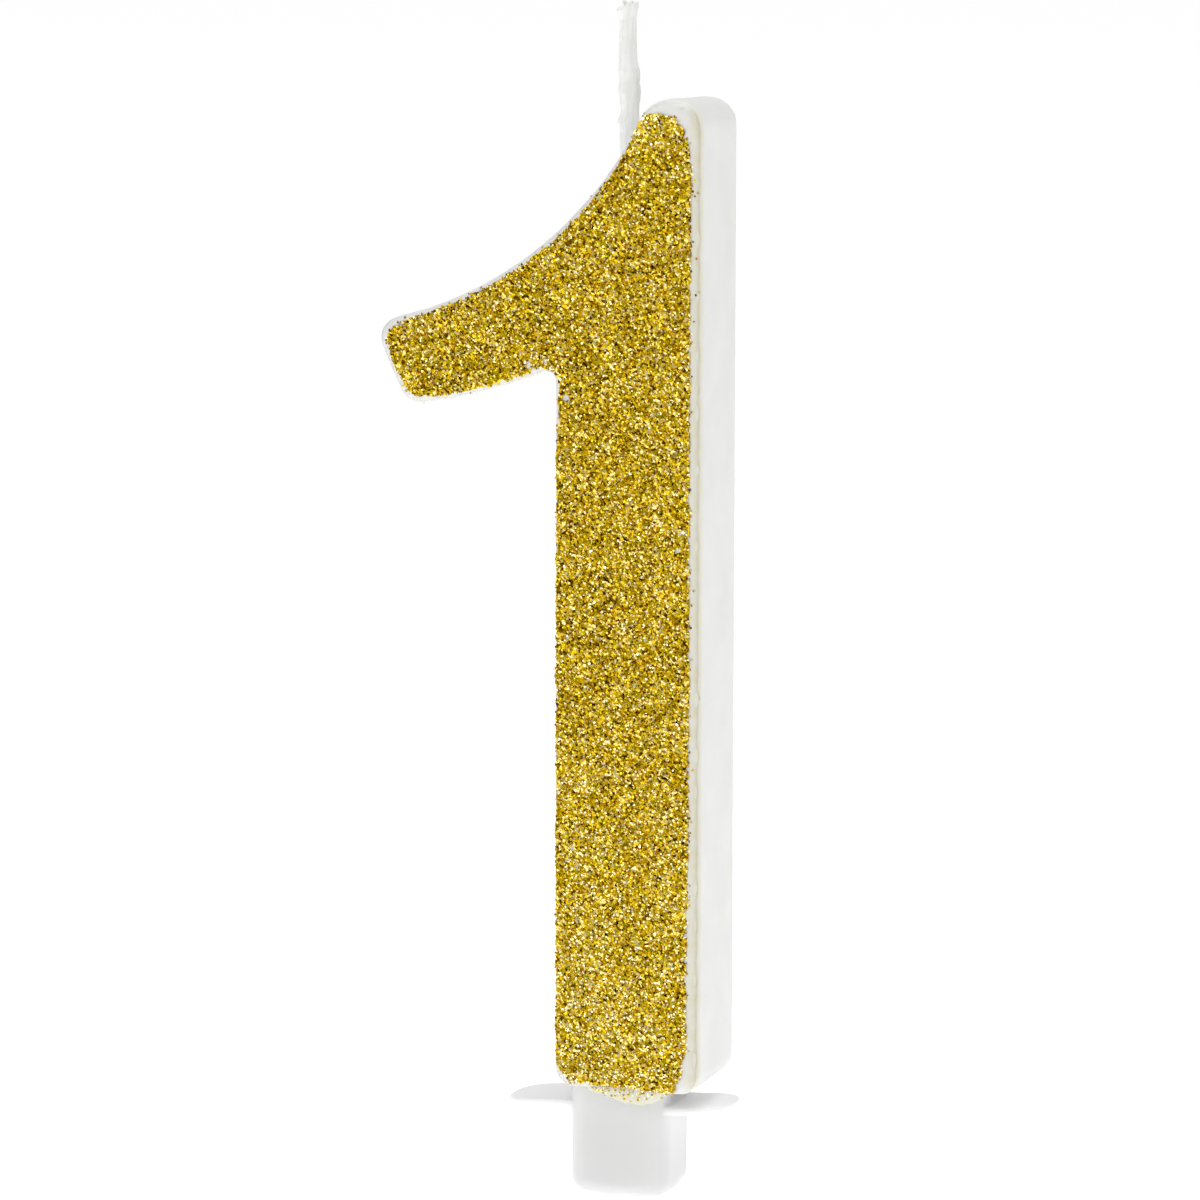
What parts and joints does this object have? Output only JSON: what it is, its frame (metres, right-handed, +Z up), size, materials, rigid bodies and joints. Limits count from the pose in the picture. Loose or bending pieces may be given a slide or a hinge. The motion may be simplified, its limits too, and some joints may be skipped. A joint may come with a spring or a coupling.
{
  "type": "number birthday candle",
  "caption": "Moulded wax numeral one with a glitter front face and a waxed wick, standing in a white plastic cup holder with side wings that pushes into a cake.",
  "frame": {"origin": "centre of the underside of the holder's wings, at the level of the cake's icing", "axes": "+Z up along the wick, -Y towards the side that the glitter face looks at, +X to the right of a person reading the numeral"},
  "size_m": [0.0471, 0.0164, 0.1587],
  "materials": {
    "holder_plastic": "satin white moulding",
    "white_wax": "soft white paraffin wax, slightly translucent",
    "wick_wax": "thin lumpy wax primer",
    "wick_cotton": "braided cotton",
    "clear_glue": "clear, slightly yellow set glue",
    "gold_glitter": "metallised gold foil flakes"
  },
  "bodies": {
    "holder": {"cake_holder": "holder_plastic"},
    "candle": {"wax_digit": "white_wax", "wick_wax_coat": "wick_wax", "wick_braid": "wick_cotton", "glue_film": "clear_glue", "glitter_coat": "gold_glitter"}
  },
  "joints": [
    {"name": "candle_lift", "type": "slide", "parent": "holder", "child": "candle", "axis": [0, 0, 1], "range_m": [0, 0.015]}
  ]
}
